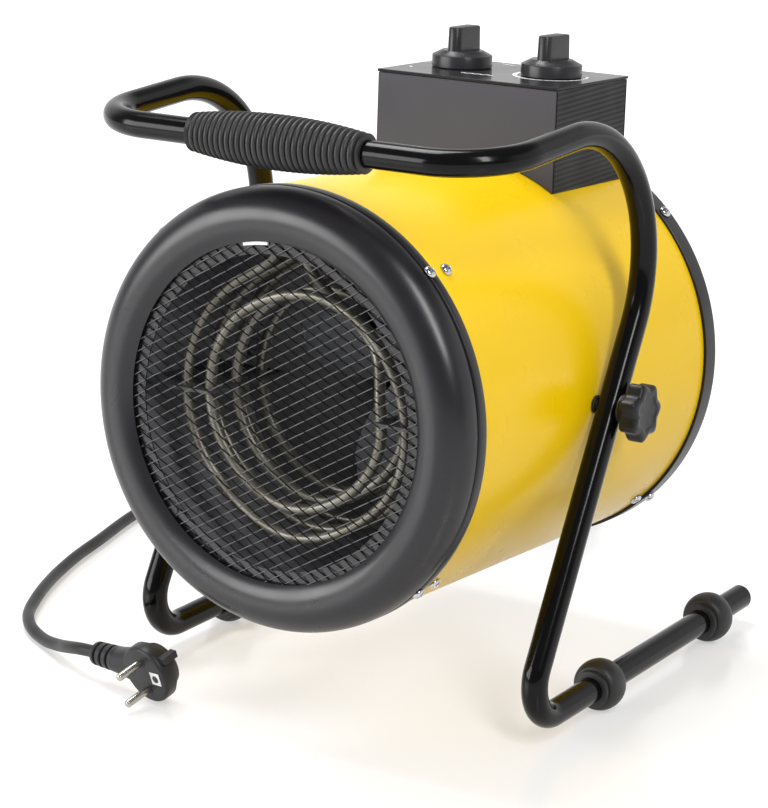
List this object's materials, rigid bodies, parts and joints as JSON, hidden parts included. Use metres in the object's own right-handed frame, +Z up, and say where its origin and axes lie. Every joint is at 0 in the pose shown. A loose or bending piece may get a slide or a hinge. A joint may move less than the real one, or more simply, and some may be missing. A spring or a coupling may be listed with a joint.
{
  "type": "forced air heater",
  "caption": "Round electric fan heater: a sheet steel drum with rolled end rings, wire grille and control box, tilting in a bent tube stand with carrying handle.",
  "frame": {"origin": "centre of the heater's footprint box at floor level, measured without the cord and its plug", "axes": "+X to the heater's left-hand leg as seen from behind it, which is on the right from the front; +Y from the outlet grille back to the inlet; +Z up"},
  "size_m": [0.4993, 0.5445, 0.3898],
  "materials": {
    "yellow_paint": "gloss yellow powder coat",
    "black_paint": "satin black powder coat",
    "gloss_black_tube": "gloss black enamel",
    "black_plastic": "satin black moulding",
    "panel_black": "gloss black",
    "black_rubber": "dull black",
    "bright_steel": "zinc plated",
    "dark_steel": "dull, heat tinted",
    "coil_steel": "oxidised sheath",
    "wire_steel": "plated wire",
    "pale_insulator": "pale moulding"
  },
  "bodies": {
    "stand": {"tube_frame": "gloss_black_tube", "handle_grip": "black_rubber", "front_right_foot_ring": "black_rubber", "front_left_foot_ring": "black_rubber", "rear_right_foot_ring": "black_rubber", "rear_left_foot_ring": "black_rubber", "right_skid_cap": "black_plastic", "left_skid_cap": "black_plastic", "right_pivot_spacer": "bright_steel", "left_pivot_spacer": "bright_steel", "cord_coil": "black_rubber", "cord_front_run": "black_rubber", "plug_strain_relief": "black_rubber", "plug_body": "black_plastic", "upper_plug_pin": "bright_steel", "lower_plug_pin": "bright_steel"},
    "drum": {"outer_casing": "yellow_paint", "front_upper_right_screw": "bright_steel", "front_upper_left_screw": "bright_steel", "front_lower_left_screw": "bright_steel", "front_lower_right_screw": "bright_steel", "rear_upper_right_screw": "bright_steel", "rear_upper_left_screw": "bright_steel", "rear_lower_left_screw": "bright_steel", "rear_lower_right_screw": "bright_steel", "front_bezel": "black_paint", "front_grille": "wire_steel", "inner_shell": "dark_steel", "front_heating_element": "coil_steel", "middle_heating_element": "coil_steel", "rear_heating_element": "coil_steel", "right_element_support": "bright_steel", "left_element_support": "bright_steel", "element_terminal_plate": "pale_insulator", "fan_motor": "dark_steel", "motor_bracket": "bright_steel", "rear_ring": "black_paint", "rear_guard": "black_paint", "control_box": "black_plastic", "control_panel": "panel_black", "switch_body": "pale_insulator", "thermostat_body": "pale_insulator", "terminal_block": "pale_insulator", "thermal_cutout": "pale_insulator", "cable_gland": "black_plastic", "cord_sleeve": "black_rubber", "gland_nut": "black_plastic", "cord_hanging": "black_rubber", "right_pivot_nut": "bright_steel", "left_pivot_nut": "bright_steel"},
    "right_clamp": {"right_clamp_washer": "bright_steel"},
    "right_clamp_knob": {"right_star_knob": "black_plastic", "right_clamp_stud": "bright_steel"},
    "left_clamp": {"left_clamp_washer": "bright_steel"},
    "left_clamp_knob": {"left_star_knob": "black_plastic", "left_clamp_stud": "bright_steel"},
    "heat_switch": {"switch_knob": "black_plastic"},
    "thermostat": {"thermostat_knob": "black_plastic"},
    "fan_rotor": {"fan": "dark_steel", "motor_shaft": "bright_steel"}
  },
  "joints": [
    {"name": "drum_tilt", "type": "hinge", "parent": "stand", "child": "drum", "pos_m": [0, -0.00993, 0.1908], "axis": [1, 0, 0], "range_deg": [-21.5, 28]},
    {"name": "right_clamp_slide", "type": "slide", "parent": "stand", "child": "right_clamp", "axis": [1, 0, 0], "range_m": [0, 0.00125]},
    {"name": "right_clamp_turn", "type": "hinge", "parent": "right_clamp", "child": "right_clamp_knob", "pos_m": [0.1404, -0.00993, 0.1908], "axis": [1, 0, 0], "range_deg": [0, 360]},
    {"name": "left_clamp_slide", "type": "slide", "parent": "stand", "child": "left_clamp", "axis": [-1, 0, 0], "range_m": [0, 0.00125]},
    {"name": "left_clamp_turn", "type": "hinge", "parent": "left_clamp", "child": "left_clamp_knob", "pos_m": [-0.1404, -0.00993, 0.1908], "axis": [-1, 0, 0], "range_deg": [0, 360]},
    {"name": "switch_turn", "type": "hinge", "parent": "drum", "child": "heat_switch", "pos_m": [-0.033, 0.09817, 0.36316], "axis": [0, -0.0576, -0.9983], "range_deg": [0, 90]},
    {"name": "thermostat_turn", "type": "hinge", "parent": "drum", "child": "thermostat", "pos_m": [0.033, 0.09817, 0.36316], "axis": [0, -0.0576, -0.9983], "range_deg": [0, 270]},
    {"name": "fan_spin", "type": "hinge", "parent": "drum", "child": "fan_rotor", "pos_m": [0, 0.02002, 0.18907], "axis": [0, 0.9983, -0.0576], "continuous": true}
  ],
  "couplings": [
    {"joint": "right_clamp_turn", "follows": "right_clamp_slide", "rad_per_m": 5026.5},
    {"joint": "left_clamp_turn", "follows": "left_clamp_slide", "rad_per_m": 5026.5}
  ]
}
